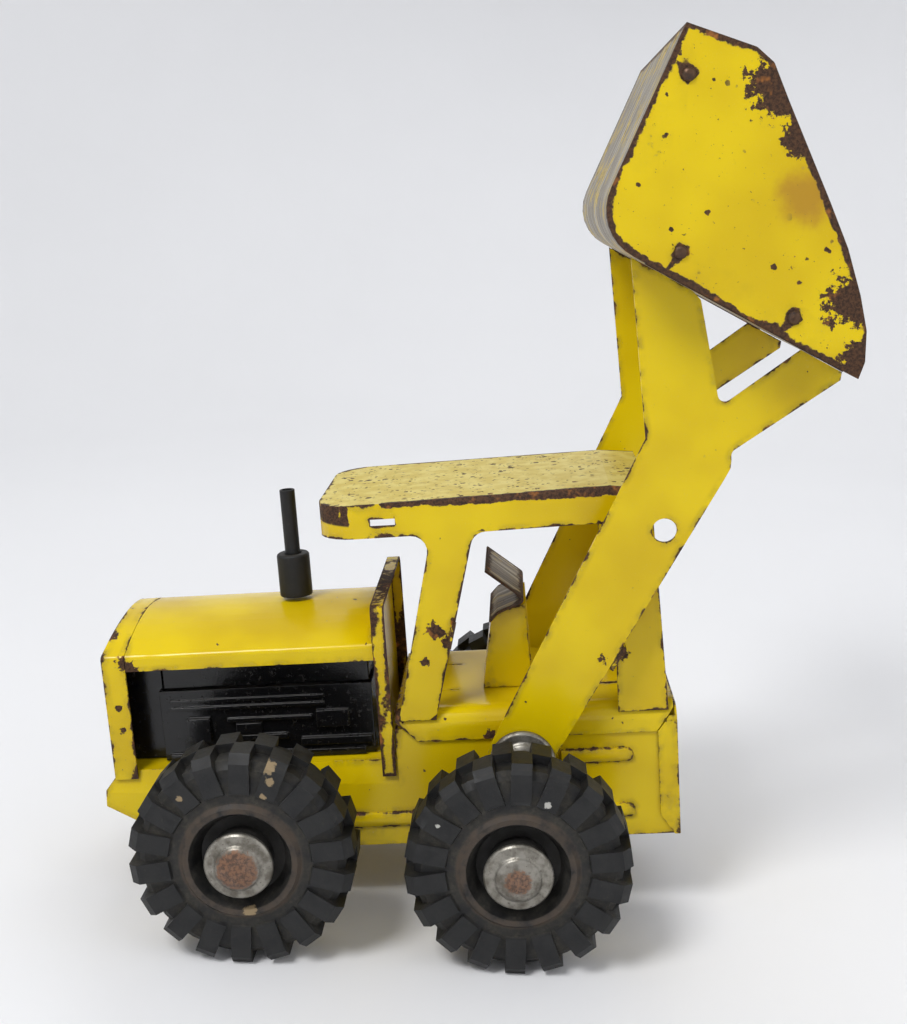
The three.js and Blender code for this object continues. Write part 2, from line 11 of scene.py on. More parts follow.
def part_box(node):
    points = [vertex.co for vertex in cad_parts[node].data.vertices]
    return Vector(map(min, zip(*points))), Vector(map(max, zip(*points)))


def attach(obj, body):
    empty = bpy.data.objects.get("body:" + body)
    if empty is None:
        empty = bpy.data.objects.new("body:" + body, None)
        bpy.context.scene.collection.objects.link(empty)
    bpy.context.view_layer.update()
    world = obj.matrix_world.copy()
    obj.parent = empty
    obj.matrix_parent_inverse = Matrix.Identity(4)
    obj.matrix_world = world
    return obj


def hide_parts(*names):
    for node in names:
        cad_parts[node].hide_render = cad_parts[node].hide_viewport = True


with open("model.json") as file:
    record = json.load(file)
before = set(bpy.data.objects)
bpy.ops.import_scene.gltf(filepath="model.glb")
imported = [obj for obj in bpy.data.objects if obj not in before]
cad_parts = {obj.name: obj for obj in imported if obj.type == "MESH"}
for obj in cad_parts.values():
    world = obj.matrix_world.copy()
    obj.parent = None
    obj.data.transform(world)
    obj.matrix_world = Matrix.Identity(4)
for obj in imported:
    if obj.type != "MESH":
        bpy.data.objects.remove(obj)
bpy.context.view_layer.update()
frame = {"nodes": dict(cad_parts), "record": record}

NODES = frame["nodes"]
BODY = {node: body for body, nodes in frame["record"]["behaviour"]["bodies"].items() for node in nodes}
MM = 0.001

# ---- the tractor's own axes: u to the rear, h up, tilted nose-down by PITCH ----------------------

PITCH = math.radians(4.898)
SHIFT = -34.602


def at(u, y, h):
    """A point given in the tractor's own millimetres, in the row frame."""
    x = u * math.cos(PITCH) - h * math.sin(PITCH) + SHIFT
    z = u * math.sin(PITCH) + h * math.cos(PITCH)
    return Vector((x, y, z)) * MM


def centre(node):
    low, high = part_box(node)
    return (low + high) / 2


# ---- node graphs ---------------------------------------------------------------------------------


class Graph:
    """A material's nodes, built from short calls that give back an output socket."""

    def __init__(self, name):
        self.material = bpy.data.materials.new(name)
        self.material.use_nodes = True
        self.tree = self.material.node_tree
        self.surface = self.tree.nodes["Principled BSDF"]
        self.place = self.add("ShaderNodeTexCoord")
        self.coords = self.place.outputs["Object"]

    def add(self, kind, inputs=(), **settings):
        node = self.tree.nodes.new(kind)
        for key, value in settings.items():
            setattr(node, key, value)
        for key, value in dict(inputs).items():
            self.feed(node.inputs[key], value)
        return node

    def feed(self, socket, value):
        if isinstance(value, bpy.types.NodeSocket):
            self.tree.links.new(value, socket)
        else:
            socket.default_value = value

    def math(self, operation, a, b=0.0):
        return self.add("ShaderNodeMath", {0: a, 1: b}, operation=operation).outputs[0]

    def times(self, a, b):
        return self.math("MULTIPLY", a, b)

    def plus(self, a, b):
        return self.math("ADD", a, b)

    def minus(self, a, b):
        return self.math("SUBTRACT", a, b)

    def ramp(self, value, low, high):
        """0 below low, 1 above high, smooth between. Low above high turns it round."""
        inputs = {"Value": value, "From Min": low, "From Max": high}
        return self.add("ShaderNodeMapRange", inputs, interpolation_type="SMOOTHSTEP").outputs["Result"]

    def mix(self, share, a, b):
        node = self.add("ShaderNodeMix", data_type="RGBA")
        self.feed(node.inputs[0], share)
        for socket, value in ((node.inputs[6], a), (node.inputs[7], b)):
            self.feed(socket, value if isinstance(value, bpy.types.NodeSocket) else (*value, 1.0))
        return node.outputs[2]

    def blend(self, share, a, b):
        node = self.add("ShaderNodeMix", {0: share, 2: a, 3: b}, data_type="FLOAT")
        return node.outputs[0]

    def scaled(self, scale, seed):
        """The piece's own coordinates, scaled and moved along by the seed."""
        inputs = {"Vector": self.coords, "Scale": scale, "Location": (seed, seed, seed)}
        return self.add("ShaderNodeMapping", inputs).outputs[0]

    def noise(self, size, detail=3.0, rough=0.55, seed=0.0, stretch=(1, 1, 1)):
        """Noise with features of about that size in millimetres."""
        place = self.scaled([1000.0 / (size * s) for s in stretch], seed)
        inputs = {"Vector": place, "Scale": 1.0, "Detail": detail, "Roughness": rough}
        return self.add("ShaderNodeTexNoise", inputs).outputs[0]

    def specks(self, cell, low, high, seed=0.0, rarity=5.0):
        """Ragged specks, one in each cell of that size in millimetres, with radii from low to high cells.
        The higher rarity is, the fewer of them come near the high end."""
        place = self.scaled([1000.0 / cell] * 3, seed)
        wander = self.add("ShaderNodeTexNoise", {"Vector": place, "Scale": 2.6, "Detail": 3.0})
        push = {0: wander.outputs["Color"], 1: (0.45, 0.45, 0.45), 2: place}
        pushed = self.add("ShaderNodeVectorMath", push, operation="MULTIPLY_ADD").outputs[0]
        node = self.add("ShaderNodeTexVoronoi", {"Vector": pushed, "Scale": 1.0})
        chance = self.add("ShaderNodeSeparateColor", {0: node.outputs["Color"]}).outputs[0]
        radius = self.blend(self.math("POWER", chance, rarity), low, high)
        return self.ramp(self.math("SUBTRACT", radius, node.outputs["Distance"]), 0.0, 0.03)

    def attribute(self, name):
        return self.add("ShaderNodeAttribute", attribute_name=name).outputs["Fac"]

    def axis(self, vector, which):
        return self.add("ShaderNodeSeparateXYZ", {0: vector}).outputs[which]

    def distance(self, place, point):
        away = self.add("ShaderNodeVectorMath", {0: place, 1: point}, operation="SUBTRACT").outputs[0]
        return self.add("ShaderNodeVectorMath", {0: away}, operation="LENGTH").outputs["Value"]

    def from_point(self, point):
        return self.distance(self.coords, point)

    def from_axle(self, point):
        """Distance from the line across the toy through that point."""
        flat = self.add("ShaderNodeVectorMath", {0: self.coords, 1: (1, 0, 1)}, operation="MULTIPLY")
        return self.distance(flat.outputs[0], (point[0], 0, point[2]))

    def most(self, *values):
        top = values[0]
        for value in values[1:]:
            top = self.math("MAXIMUM", top, value)
        return top

    def finish(self, colour, roughness, metallic, height, specular=0.5):
        """Height is relief in metres."""
        self.surface.inputs["Specular IOR Level"].default_value = specular
        bump = self.add("ShaderNodeBump", {"Strength": 1.0, "Distance": 1.0, "Height": height})
        for key, value in (("Base Color", colour), ("Roughness", roughness), ("Metallic", metallic)):
            self.feed(self.surface.inputs[key], value)
        self.tree.links.new(bump.outputs[0], self.surface.inputs["Normal"])
        return self.material


# ---- materials -----------------------------------------------------------------------------------

YELLOW = (0.700, 0.510, 0.001)
DEEP_YELLOW = (0.590, 0.405, 0.001)
PALE_YELLOW = (0.600, 0.500, 0.130)
RUST_DARK = (0.026, 0.013, 0.008)
RUST_BROWN = (0.085, 0.038, 0.016)
RUST_ORANGE = (0.300, 0.110, 0.022)
GRIME = (0.130, 0.090, 0.020)


def rust_colour(g, seed=0.0):
    grain = g.noise(1.3, 5, 0.7, seed + 3)
    patch = g.noise(7, 3, 0.6, seed + 5)
    brown = g.mix(g.ramp(grain, 0.38, 0.62), RUST_DARK, RUST_BROWN)
    return g.mix(g.ramp(patch, 0.58, 0.74), brown, RUST_ORANGE)


def painted(name, patches=(), rim=1.9, even=0.0, fade=None, specks=1.0, seed=0.0, streaks=()):
    """Gloss enamel on steel: rust along edges and seams, chips, faded and grimy places.
    Patches are (point, radius) of rust, and streaks (point, radius, share) of orange stain. Rim is the usual
    width of the rusty edge, even is how unbroken that edge is, and fade is the height above which faces that
    look up have lost their gloss."""
    g = Graph(name)
    edge = g.times(g.attribute("edge"), 1000.0)
    seam = g.times(g.attribute("seam"), 1000.0)
    large = g.noise(42, 2, 0.5, seed)
    middle = g.noise(9, 4, 0.6, seed + 1)
    small = g.noise(2.4, 4, 0.65, seed + 2)
    fine = g.noise(0.7, 3, 0.6, seed + 4)

    uneven = g.plus(g.times(middle, 0.65), g.times(large, 0.35))
    width = g.blend(g.ramp(uneven, 0.40 - 0.2 * even, 0.68), (even - 0.5) * rim * 0.9, rim * 1.3)
    ragged = g.times(g.minus(small, 0.5), 2.2)
    near_edge = g.ramp(g.minus(g.plus(edge, ragged), width), 0.25, -0.35)
    fold = g.plus(g.times(g.attribute("fold"), 1000.0), g.times(ragged, 0.8))
    near_fold = g.ramp(g.minus(fold, g.times(middle, 4.2)), 0.2, -0.3)
    near_seam = g.ramp(g.plus(seam, g.times(g.minus(0.56, middle), 9.0)), 0.6, -0.2)
    rust = g.most(near_edge, g.times(near_seam, 0.85))
    for point, radius in patches:
        reach = g.math("DIVIDE", g.from_point(point), radius * MM)
        worn = g.plus(g.minus(1.0, reach),
                      g.plus(g.times(g.minus(middle, 0.5), 1.3),
                             g.times(g.minus(small, 0.5), 2.2)))
        rust = g.most(rust, g.ramp(worn, 0.10, 0.22))
    chips = g.specks(9.0, -0.05, 0.11 * specks, seed)
    pits = g.specks(4.4, -0.06, 0.15 * specks, seed + 9, 4.0 / specks)
    pits = g.times(pits, g.ramp(g.noise(24, 2, 0.5, seed + 10), 0.44, 0.56))
    least = 0.690 - 0.028 * specks
    nicks = g.ramp(g.plus(g.times(small, 0.6), g.times(fine, 0.4)), least, least + 0.020)
    pits = g.most(pits, g.times(nicks, min(1.0, 0.8 * specks)))
    bare = g.most(rust, chips, pits)

    paint = g.mix(g.ramp(large, 0.35, 0.7), YELLOW, DEEP_YELLOW)
    paint = g.mix(g.times(g.ramp(fine, 0.55, 0.8), 0.25), paint, PALE_YELLOW)
    dirt = g.most(g.ramp(edge, 3.5, 0.3), g.ramp(seam, 1.7, 0.3))
    dirt = g.times(dirt, g.ramp(middle, 0.38, 0.68))
    dirt = g.most(g.times(dirt, 0.50), g.times(g.ramp(middle, 0.68, 0.84), 0.18))
    paint = g.mix(dirt, paint, GRIME)
    gloss = g.blend(dirt, 0.21, 0.5)
    for point, radius, share in streaks:
        reach = g.plus(g.math("DIVIDE", g.from_point(point), radius * MM), g.minus(middle, 0.5))
        paint = g.mix(g.times(g.ramp(reach, 1.0, 0.3), share), paint, RUST_ORANGE)
    if fade is not None:
        up = g.ramp(g.axis(g.place.outputs["Normal"], 2), 0.70, 0.95)
        above = g.ramp(g.axis(g.coords, 2), fade - 0.001, fade)
        dull = g.times(up, above)
        chalk = g.mix(g.ramp(middle, 0.35, 0.62), (0.64, 0.53, 0.14), (0.54, 0.41, 0.06))
        rubbed = g.noise(3.6, 4, 0.7, seed + 15)
        chalk = g.mix(g.times(g.ramp(rubbed, 0.60, 0.68), 0.8), chalk, (0.17, 0.085, 0.025))
        paint = g.mix(dull, paint, chalk)
        gloss = g.blend(dull, gloss, 0.50)
        spread = g.ramp(g.noise(14, 3, 0.6, seed + 8), 0.38, 0.54)
        worn_top = g.most(g.specks(4.2, 0.0, 0.42, seed + 13, 2.0), g.specks(2.2, 0.0, 0.42, seed + 14, 2.5))
        worn_top = g.times(g.times(dull, worn_top), spread)
        bare = g.most(bare, worn_top, g.times(near_fold, above))

    colour = g.mix(bare, paint, rust_colour(g, seed))
    roughness = g.blend(bare, gloss, 0.72)
    peel = g.times(g.noise(1.6, 2, 0.5, seed + 6), 0.000010)
    dents = g.times(g.noise(36, 1, 0.4, seed + 7), 0.00030)
    relief = g.plus(g.plus(peel, dents), g.times(bare, -0.00010))
    grain = g.times(g.times(fine, bare), 0.00009)
    return g.finish(colour, roughness, 0.0, g.plus(relief, grain), 0.3)


def scoured(name, paint_left=0.25, seed=0.0):
    """Sheet worn to bare grey-beige steel by what slides along it, with some paint left and rusty edges."""
    g = Graph(name)
    edge = g.times(g.attribute("edge"), 1000.0)
    middle = g.noise(11, 4, 0.6, seed)
    small = g.noise(2.2, 4, 0.65, seed + 1)
    lines = g.noise(1.0, 4, 0.7, seed + 2, stretch=(55, 0.9, 55))
    broad = g.noise(1.0, 3, 0.6, seed + 3, stretch=(90, 4.5, 90))
    steel = g.mix(g.ramp(lines, 0.40, 0.60), (0.070, 0.048, 0.032), (0.36, 0.32, 0.25))
    steel = g.mix(g.times(g.ramp(broad, 0.50, 0.62), 0.8), steel, (0.58, 0.54, 0.45))
    left = g.times(g.ramp(g.plus(middle, g.times(broad, 0.4)), 0.72, 0.80), paint_left * 3)
    colour = g.mix(g.math("MINIMUM", left, 1.0), steel, DEEP_YELLOW)
    ragged = g.plus(edge, g.times(g.minus(g.most(small, middle), 0.55), 7.0))
    rust = g.most(g.ramp(ragged, 3.2, 1.4), g.ramp(middle, 0.64, 0.72), g.specks(3.4, -0.2, 0.2, seed + 4))
    colour = g.mix(rust, colour, rust_colour(g, seed + 5))
    roughness = g.blend(rust, g.blend(g.ramp(lines, 0.3, 0.7), 0.38, 0.6), 0.75)
    metallic = g.times(g.minus(1.0, rust), 0.55)
    relief = g.plus(g.times(lines, 0.00006), g.times(g.times(small, rust), 0.0002))
    return g.finish(colour, roughness, metallic, relief)


def plain_steel(name, colour=(0.16, 0.125, 0.095), seed=0.0):
    """Uncoated steel that has gone dull brown."""
    g = Graph(name)
    middle = g.noise(5, 4, 0.6, seed)
    fine = g.noise(0.8, 3, 0.6, seed + 1)
    base = g.mix(g.ramp(middle, 0.40, 0.62), colour, [c * 0.45 for c in colour])
    rust = g.ramp(g.plus(middle, g.times(fine, 0.3)), 0.64, 0.74)
    tint = g.mix(rust, base, rust_colour(g, seed))
    metallic = g.times(g.minus(1.0, rust), 0.7)
    return g.finish(tint, g.blend(rust, 0.42, 0.8), metallic, g.times(fine, 0.00006))


def zinc(name, axle, stain, seed=0.0):
    """Dulled plating on a domed cap, with the crown rubbed through to rust out to a radius of stain mm."""
    g = Graph(name)
    out = g.times(g.from_axle(axle), 1000.0)
    middle = g.noise(6, 4, 0.6, seed)
    small = g.noise(1.5, 4, 0.65, seed + 1)
    fine = g.noise(0.5, 2, 0.6, seed + 2)
    plate = g.mix(g.ramp(middle, 0.36, 0.66), (0.29, 0.275, 0.24), (0.135, 0.122, 0.10))
    plate = g.mix(g.ramp(small, 0.56, 0.72), plate, (0.12, 0.105, 0.085))
    ragged = g.plus(out, g.times(g.minus(small, 0.5), 5.0))
    crown = g.ramp(ragged, stain, stain - 1.6)
    brown = g.mix(g.ramp(small, 0.40, 0.62), (0.22, 0.105, 0.055), (0.085, 0.045, 0.030))
    colour = g.mix(g.times(crown, 0.85), plate, brown)
    roughness = g.blend(crown, g.blend(g.ramp(small, 0.4, 0.7), 0.34, 0.55), 0.58)
    metallic = g.blend(crown, 0.85, 0.45)
    relief = g.plus(g.times(fine, 0.00004), g.times(small, 0.00008))
    return g.finish(colour, roughness, metallic, relief)


def rubber(name, axle, spots=(), seed=0.0):
    """Black tyre: dark on the lugs, dusty between them, brown on the raised ring round the hub, and painted
    shade in the groove inside that ring.
    """
    g = Graph(name)
    out = g.times(g.from_axle(axle), 1000.0)
    across = g.times(g.math("ABSOLUTE", g.axis(g.coords, 1)), 1000.0)
    middle = g.noise(8, 4, 0.6, seed)
    small = g.noise(1.8, 4, 0.65, seed + 1)
    fine = g.noise(0.5, 2, 0.6, seed + 2)
    tread = g.ramp(out, 45.2, 46.6)
    wall = g.times(g.ramp(across, 102.3, 103.2), g.ramp(out, 29.0, 30.5))
    inner_wall = g.ramp(across, 79.5, 78.5)
    lug = g.most(tread, wall)
    black = g.mix(g.ramp(middle, 0.35, 0.65), (0.007, 0.007, 0.0075), (0.015, 0.015, 0.015))
    dust = g.mix(g.ramp(small, 0.35, 0.7), (0.028, 0.026, 0.021), (0.066, 0.058, 0.044))
    settled = g.times(g.minus(1.0, g.most(lug, inner_wall)), g.ramp(middle, 0.30, 0.66))
    settled = g.most(g.times(settled, 0.60), g.times(g.ramp(small, 0.58, 0.78), 0.28))
    colour = g.mix(settled, black, dust)
    ring = g.times(g.ramp(out, 21.4, 22.6), g.ramp(out, 27.2, 25.8))
    colour = g.mix(g.times(ring, g.ramp(middle, 0.28, 0.62)), colour, (0.062, 0.046, 0.034))
    # Painted shade: the groove round the hub, inside the raised ring, is darkened almost to black in place of
    # its shadow.
    groove_shade = g.ramp(out, 20.5, 18.5)
    colour = g.mix(g.times(groove_shade, 0.8), colour, (0.010, 0.009, 0.008))
    for point, radius, tint in spots:
        reach = g.math("DIVIDE", g.from_point(point), radius * MM)
        mark = g.ramp(g.plus(reach, g.times(g.minus(small, 0.5), 1.6)), 0.95, 0.70)
        colour = g.mix(g.times(mark, 0.85), colour, tint)
    roughness = g.blend(settled, g.blend(g.ramp(middle, 0.35, 0.65), 0.48, 0.62), 0.9)
    relief = g.plus(g.times(small, 0.00010), g.times(fine, 0.00003))
    return g.finish(colour, roughness, 0.0, relief, 0.35)


def moulding(name, gloss, seed=0.0):
    """Black plastic under a film of dust."""
    g = Graph(name)
    middle = g.noise(12, 4, 0.6, seed)
    small = g.noise(2, 4, 0.65, seed + 1)
    up = g.ramp(g.axis(g.place.outputs["Normal"], 2), 0.5, 0.95)
    dust = g.times(g.most(g.times(up, 0.8), g.ramp(small, 0.55, 0.75)), g.ramp(middle, 0.3, 0.7))
    colour = g.mix(g.times(dust, 0.5), (0.005, 0.005, 0.0055), (0.055, 0.048, 0.036))
    roughness = g.blend(dust, gloss, 0.8)
    return g.finish(colour, roughness, 0.0, g.times(small, 0.00006), 0.4)


# ---- meshes --------------------------------------------------------------------------------------

SHARP = math.radians(26)
FOLD = math.radians(14)
CELL = 4.5 * MM


def welded(node):
    """The node's mesh as one closed surface with its flat faces whole."""
    bm = bmesh.new()
    bm.from_mesh(NODES[node].data)
    bmesh.ops.remove_doubles(bm, verts=bm.verts, dist=2e-5)
    bmesh.ops.dissolve_degenerate(bm, dist=1e-5, edges=bm.edges)
    bmesh.ops.dissolve_limit(bm, angle_limit=math.radians(0.8), verts=bm.verts, edges=bm.edges,
                             use_dissolve_boundaries=False)
    bmesh.ops.recalc_face_normals(bm, faces=bm.faces)
    return bm


def sharp_edges(bm, least=SHARP):
    return [e for e in bm.edges if len(e.link_faces) == 2 and e.calc_face_angle(0.0) > least]


def ends(edges):
    return [tuple(np.array(v.co) for v in e.verts) for e in edges]


def grid_cut(bm, cell):
    """Cuts every face along planes one cell apart, so that what is stored at corners varies over it."""
    low = [min(v.co[i] for v in bm.verts) for i in range(3)]
    high = [max(v.co[i] for v in bm.verts) for i in range(3)]
    for i in range(3):
        normal = Vector([float(i == k) for k in range(3)])
        for k in range(math.floor(low[i] / cell) + 1, math.ceil(high[i] / cell)):
            geometry = bm.verts[:] + bm.edges[:] + bm.faces[:]
            bmesh.ops.bisect_plane(bm, geom=geometry, plane_co=normal * k * cell, plane_no=normal, dist=1e-6)


def from_segments(points, segments):
    """Each point's distance from the nearest segment."""
    nearest = np.full(len(points), 0.02)
    for start, end in segments:
        along = end - start
        length = along @ along
        if length < 1e-14:
            continue
        share = np.clip(((points - start) @ along) / length, 0, 1)
        nearest = np.minimum(nearest, np.linalg.norm(points - start - share[:, None] * along, axis=1))
    return nearest


def surface_tree(mesh):
    points = [v.co[:] for v in mesh.vertices]
    return bvhtree.BVHTree.FromPolygons(points, [p.vertices[:] for p in mesh.polygons])


TREES = {name: surface_tree(node.data) for name, node in NODES.items()}


def from_neighbours(node, points, reach=8 * MM):
    """Each point's distance from the nearest other piece."""
    nearest = np.full(len(points), reach)
    for other, tree in TREES.items():
        if other == node:
            continue
        low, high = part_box(other)
        inside = np.all((points > np.array(low) - reach) & (points < np.array(high) + reach), axis=1)
        for i in np.nonzero(inside)[0]:
            found = tree.find_nearest(Vector(points[i]), nearest[i])
            if found[3] is not None:
                nearest[i] = min(nearest[i], found[3])
    return nearest


def store(mesh, name, values):
    mesh.attributes.new(name, "FLOAT", "POINT").data.foreach_set("value", np.asarray(values, np.float32))


def show(bm, name, node, material, segments, folds=()):
    """Makes the piece that is seen in the node's place."""
    mesh = bpy.data.meshes.new(name)
    bm.to_mesh(mesh)
    bm.free()
    points = np.array([v.co for v in mesh.vertices], float).reshape(-1, 3)
    store(mesh, "edge", from_segments(points, segments))
    store(mesh, "fold", from_segments(points, folds))
    store(mesh, "seam", from_neighbours(node, points))
    mesh.materials.append(material)
    mesh.shade_smooth()
    mesh.set_sharp_from_angle(angle=math.radians(38))
    piece = bpy.data.objects.new(name, mesh)
    bpy.context.scene.collection.objects.link(piece)
    shading = piece.modifiers.new("weighted", "WEIGHTED_NORMAL")
    shading.keep_sharp = True
    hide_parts(node)
    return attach(piece, BODY[node])


def pressing(node, material, soft=0.28, cell=CELL, folds_wear=False):
    """A CAD node with its sharp edges rounded over. With folds_wear, its paint wears along its folds too."""
    bm = welded(node)
    edges = sharp_edges(bm)
    segments = ends(edges)
    folds = ends(set(sharp_edges(bm, FOLD)) - set(edges)) if folds_wear else ()
    if soft:
        bmesh.ops.bevel(bm, geom=edges, offset=soft * MM, offset_type="OFFSET", segments=2, profile=0.5,
                        affect="EDGES", clamp_overlap=True)
    grid_cut(bm, cell)
    return show(bm, f"{node}_finish", node, material, segments, folds)


def circle(radius, sides):
    turns = [2 * math.pi * k / sides for k in range(sides)]
    return [(radius * math.cos(t), radius * math.sin(t)) for t in turns]


def lathe(profile, start, side, sides=64):
    """A piece turned about an axis across the toy, from (radius, height outwards from start) in mm."""
    bm = bmesh.new()
    rings = []
    for radius, height in profile:
        if radius < 1e-6:
            rings.append([bm.verts.new(start + Vector((0, side * height * MM, 0)))])
            continue
        ring = [start + Vector((a, side * height, b)) * MM for a, b in circle(radius, sides)]
        rings.append([bm.verts.new(point) for point in ring])
    for low, high in zip(rings, rings[1:]):
        for k in range(max(len(low), len(high))):
            corners = [low[k % len(low)], low[(k + 1) % len(low)]]
            corners += [high[(k + 1) % len(high)], high[k % len(high)]]
            corners = list(dict.fromkeys(corners))
            if len(corners) > 2:
                bm.faces.new(corners)
    bmesh.ops.recalc_face_normals(bm, faces=bm.faces)
    return bm


def eased(points, reach=0.35, steps=3):
    """A profile with each inner corner rounded."""
    out = [points[0]]
    for before, corner, after in zip(points, points[1:], points[2:]):
        b, c, a = Vector(before), Vector(corner), Vector(after)
        r = min(reach, (b - c).length * 0.45, (a - c).length * 0.45)
        p, q = c + (b - c).normalized() * r, c + (a - c).normalized() * r
        for k in range(steps + 1):
            t = k / steps
            out.append(tuple(p * (1 - t) ** 2 + c * 2 * t * (1 - t) + q * t * t))
    out.append(points[-1])
    return out


# ---- pieces --------------------------------------------------------------------------------------

front_axle, rear_axle, pivot = centre("axle_front"), centre("axle_rear"), centre("arm_pivot_shaft")
bucket_low, bucket_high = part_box("bucket_side_left")
near = bucket_low.y

body_paint = painted("chassis_paint", seed=1, rim=0.7)
deck_paint = painted("deck_paint", seed=12, rim=1.0, patches=[(at(20, -44, 93), 5), (at(60, -45, 79), 4)])
cab_patches = [
    (at(39, -46, 131), 4.5), (at(45, -46, 126), 3.5), (at(33, -46, 117), 2.5), (at(120, -46, 118), 5),
    (at(-9, -40, 189), 5),
]
cab_paint = painted("cab_paint", seed=23, rim=1.3, even=0.2, fade=0.181, patches=cab_patches)
bonnet_paint = painted("bonnet_paint", seed=31, rim=1.0, patches=[(at(-103, -44, 119), 5)])
radiator_patches = [
    (at(-104, -44, 122), 4.5), (at(-109, -44, 101), 1.8), (at(-108, -44, 90), 2.2), (at(-114, -30, 130), 5),
]
radiator_paint = painted("radiator_paint", seed=42, rim=1.2, patches=radiator_patches)
bulkhead_paint = painted("bulkhead_paint", seed=53, rim=1.3, even=0.5)
riser_paint = painted("riser_paint", seed=61, rim=1.0)
arm_paint = painted("arm_paint", seed=77, rim=1.0, patches=[(at(112, -55, 118), 4)])

pressing("chassis", body_paint)
pressing("deck", deck_paint)
pressing("rear_end_plate", body_paint)
pressing("cab_canopy", cab_paint, folds_wear=True)
pressing("bonnet", bonnet_paint)
pressing("radiator_shell", radiator_paint)
pressing("bulkhead", bulkhead_paint)
pressing("seat_riser", riser_paint)
pressing("arm_left", arm_paint)
pressing("arm_right", arm_paint)

top_corner = Vector((bucket_high.x - 0.040, near, bucket_high.z - 0.022))
low_corner = Vector((bucket_high.x - 0.006, near, bucket_low.z + 0.030))
lip_corner = Vector((bucket_high.x - 0.003, near, bucket_low.z + 0.008))
below_corner = top_corner + Vector((0.008, 0, -0.018))
bucket_spots = [(top_corner, 13), (below_corner, 7), (low_corner, 12), (lip_corner, 8)]
for side, seed in (("left", 84), ("right", 95)):
    sign = 1 if side == "left" else -1
    spots = [(Vector((p.x, p.y * sign, p.z)), radius) for p, radius in bucket_spots]
    stain = [(Vector((bucket_high.x - 0.027, near * sign, bucket_high.z - 0.062)), 15, 0.6)]
    paint = painted(f"bucket_{side}_paint", seed=seed, rim=2.3, even=0.75, patches=spots, specks=2.1,
                    streaks=stain)
    pressing(f"bucket_side_{side}", paint)
pressing("bucket_wrap", scoured("bucket_steel", seed=3))
pressing("seat", scoured("seat_steel", paint_left=0.1, seed=17), soft=0.22)

engine_black = moulding("engine_black", 0.16, seed=2)
matt_black = moulding("exhaust_black", 0.55, seed=5)
pressing("engine_block", engine_black, soft=0.5)
pressing("engine_head", engine_black, soft=0.5)
pressing("radiator_grille", engine_black, soft=0.2)
pressing("exhaust_collar", matt_black, soft=0.4)
pressing("exhaust_pipe", matt_black, soft=0.25)

rod_steel = plain_steel("rod_steel", seed=7)
for node in ("axle_front", "axle_rear", "arm_pivot_shaft"):
    pressing(node, rod_steel, soft=0.3)
for end in ("front", "rear"):
    for side in ("left", "right"):
        pressing(f"axle_spacer_{end}_{side}", rod_steel, soft=0.3)
for side in ("left", "right"):
    pressing(f"pivot_spacer_{side}", rod_steel, soft=0.3)

CAP_RIM = 14.8
CAP = [
    (0, 5.7), (4.2, 5.4), (7.6, 3.6), (9.0, 2.6), (13.4, 0), (CAP_RIM, 0), (CAP_RIM, 1.5), (13.8, 2.6),
    (10.6, 3.2), (9.9, 3.7), (9.3, 4.6), (7.8, 5.5), (6.0, 6.05), (4.4, 6.32), (2.2, 6.55), (0, 6.6),
]


def cap(node, axle, material):
    low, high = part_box(node)
    side = 1 if low.y > 0 else -1
    start = Vector((axle.x, low.y if side > 0 else high.y, axle.z))
    bm = lathe(eased(CAP, 0.5), start, side)
    rim = [np.array(start + Vector((a, 0, b)) * MM) for a, b in circle(CAP_RIM, 32)]
    segments = list(zip(rim, rim[1:] + rim[:1]))
    show(bm, f"{node}_finish", node, material, segments)


front_zinc = zinc("front_cap_zinc", front_axle, 9.4, seed=4)
rear_zinc = zinc("rear_cap_zinc", rear_axle, 6.2, seed=14)
pivot_zinc = zinc("pivot_cap_zinc", pivot, 3.0, seed=24)
for side in ("left", "right"):
    cap(f"hub_cap_front_{side}", front_axle, front_zinc)
    cap(f"hub_cap_rear_{side}", rear_axle, rear_zinc)
    cap(f"pivot_cap_{side}", pivot, pivot_zinc)

rivet_steel = plain_steel("rivet_steel", colour=(0.10, 0.055, 0.032), seed=9)
for side in ("left", "right"):
    for k in (1, 2, 3):
        pressing(f"rivet_{side}_{k}", rivet_steel, soft=0.25)

TAN = (0.30, 0.22, 0.12)
WHITE = (0.50, 0.49, 0.45)
face = -104.3 * MM
front_spots = [(Vector((front_axle.x + dx * MM, face, front_axle.z + dz * MM)), r, TAN)
               for dx, dz, r in ((12, 44, 4.2), (13, 37, 2.2), (4, -22, 3.4), (-25, 28, 1.6), (10, 30, 1.8))]
rear_spots = [(Vector((rear_axle.x + 11 * MM, face, rear_axle.z + 31 * MM)), 2.0, WHITE),
              (Vector((rear_axle.x - 34 * MM, face, rear_axle.z + 20 * MM)), 1.2, WHITE)]
front_rubber = rubber("front_rubber", front_axle, front_spots, seed=6)
rear_rubber = rubber("rear_rubber", rear_axle, rear_spots, seed=16)
for side in ("left", "right"):
    pressing(f"tyre_front_{side}", front_rubber, soft=0.7, cell=9 * MM)
    pressing(f"tyre_rear_{side}", rear_rubber, soft=0.7, cell=9 * MM)

# ---- stage, lights and camera --------------------------------------------------------------------


FLOOR_SIDES = 96


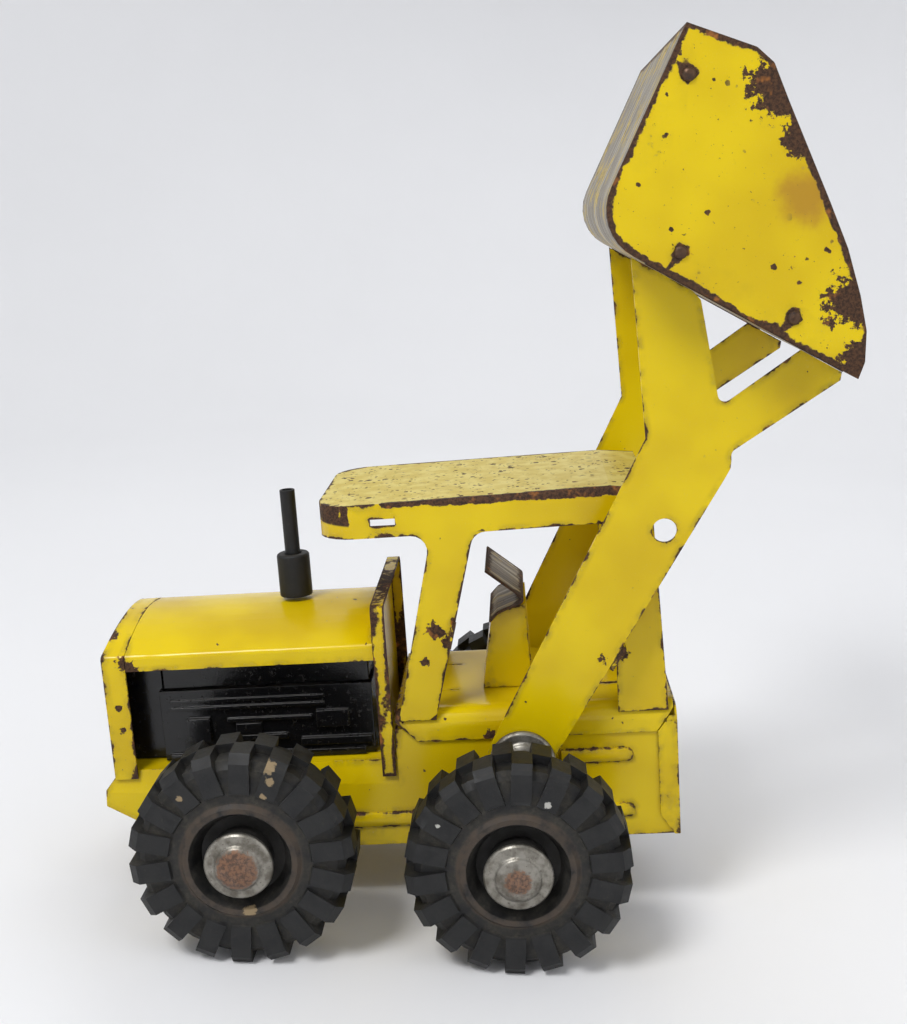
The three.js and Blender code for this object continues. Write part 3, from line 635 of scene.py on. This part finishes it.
def studio_floor():
    """A pale floor that curves up into a round wall."""
    profile = [(0.001, 0.0), (1.2, 0.0)]
    profile += [(1.2 + 0.9 * math.sin(t), 0.9 - 0.9 * math.cos(t)) for t in np.linspace(0.1, math.pi / 2, 12)]
    profile += [(2.1, 3.2)]
    bm = bmesh.new()
    rings = []
    for radius, height in profile:
        rings.append([bm.verts.new((x, y, height - 0.0002)) for x, y in circle(radius, FLOOR_SIDES)])
    for low, high in zip(rings, rings[1:]):
        for k in range(FLOOR_SIDES):
            after = (k + 1) % FLOOR_SIDES
            bm.faces.new([low[k], low[after], high[after], high[k]])
    bm.faces.new(rings[0])
    mesh = bpy.data.meshes.new("studio_floor")
    bm.to_mesh(mesh)
    bm.free()
    mesh.shade_smooth()
    g = Graph("studio_paper")
    tint = g.mix(g.noise(300, 2), (0.80, 0.80, 0.81), (0.84, 0.84, 0.85))
    mesh.materials.append(g.finish(tint, 0.7, 0.0, g.times(g.noise(3), 0.00002)))
    floor = bpy.data.objects.new("studio_floor", mesh)
    bpy.context.scene.collection.objects.link(floor)


def soft_light(name, place, target, size, power, tint=(1, 1, 1)):
    data = bpy.data.lights.new(name, "AREA")
    data.shape = "DISK"
    data.size = size
    data.energy = power
    data.color = tint
    lamp = bpy.data.objects.new(name, data)
    lamp.location = place
    lamp.rotation_euler = (Vector(target) - Vector(place)).to_track_quat("-Z", "Y").to_euler()
    bpy.context.scene.collection.objects.link(lamp)


studio_floor()
soft_light("key", (-0.7, -0.9, 1.5), (0, 0, 0.12), 0.6, 18)
soft_light("fill", (1.3, -0.9, 1.0), (0, 0, 0.15), 1.2, 4)
soft_light("back", (0.2, 1.3, 1.5), (0, 0, 0.15), 1.3, 8)

world = bpy.data.worlds.new("studio")
world.use_nodes = True
world.node_tree.nodes["Background"].inputs["Color"].default_value = (0.93, 0.96, 1.0, 1.0)
world.node_tree.nodes["Background"].inputs["Strength"].default_value = 0.58
bpy.context.scene.world = world
bpy.context.scene.view_settings.view_transform = "Standard"


def camera():
    azimuth, elevation, roll = (math.radians(a) for a in (2.2447, 12.8869, 1.1998))
    back = Vector((math.sin(azimuth) * math.cos(elevation), -math.cos(azimuth) * math.cos(elevation),
                   math.sin(elevation)))
    right = (-back).cross(Vector((0, 0, 1))).normalized()
    up = right.cross(-back)
    turned_right = right * math.cos(roll) + up * math.sin(roll)
    turned_up = up * math.cos(roll) - right * math.sin(roll)
    data = bpy.data.cameras.new("camera")
    data.lens = 47.373
    data.sensor_width = 36
    eye = bpy.data.objects.new("camera", data)
    turn = Matrix((turned_right, turned_up, back)).transposed().to_4x4()
    eye.matrix_world = Matrix.Translation((0.02235, -0.61911, 0.31996)) @ turn
    bpy.context.scene.collection.objects.link(eye)
    bpy.context.scene.camera = eye


camera()
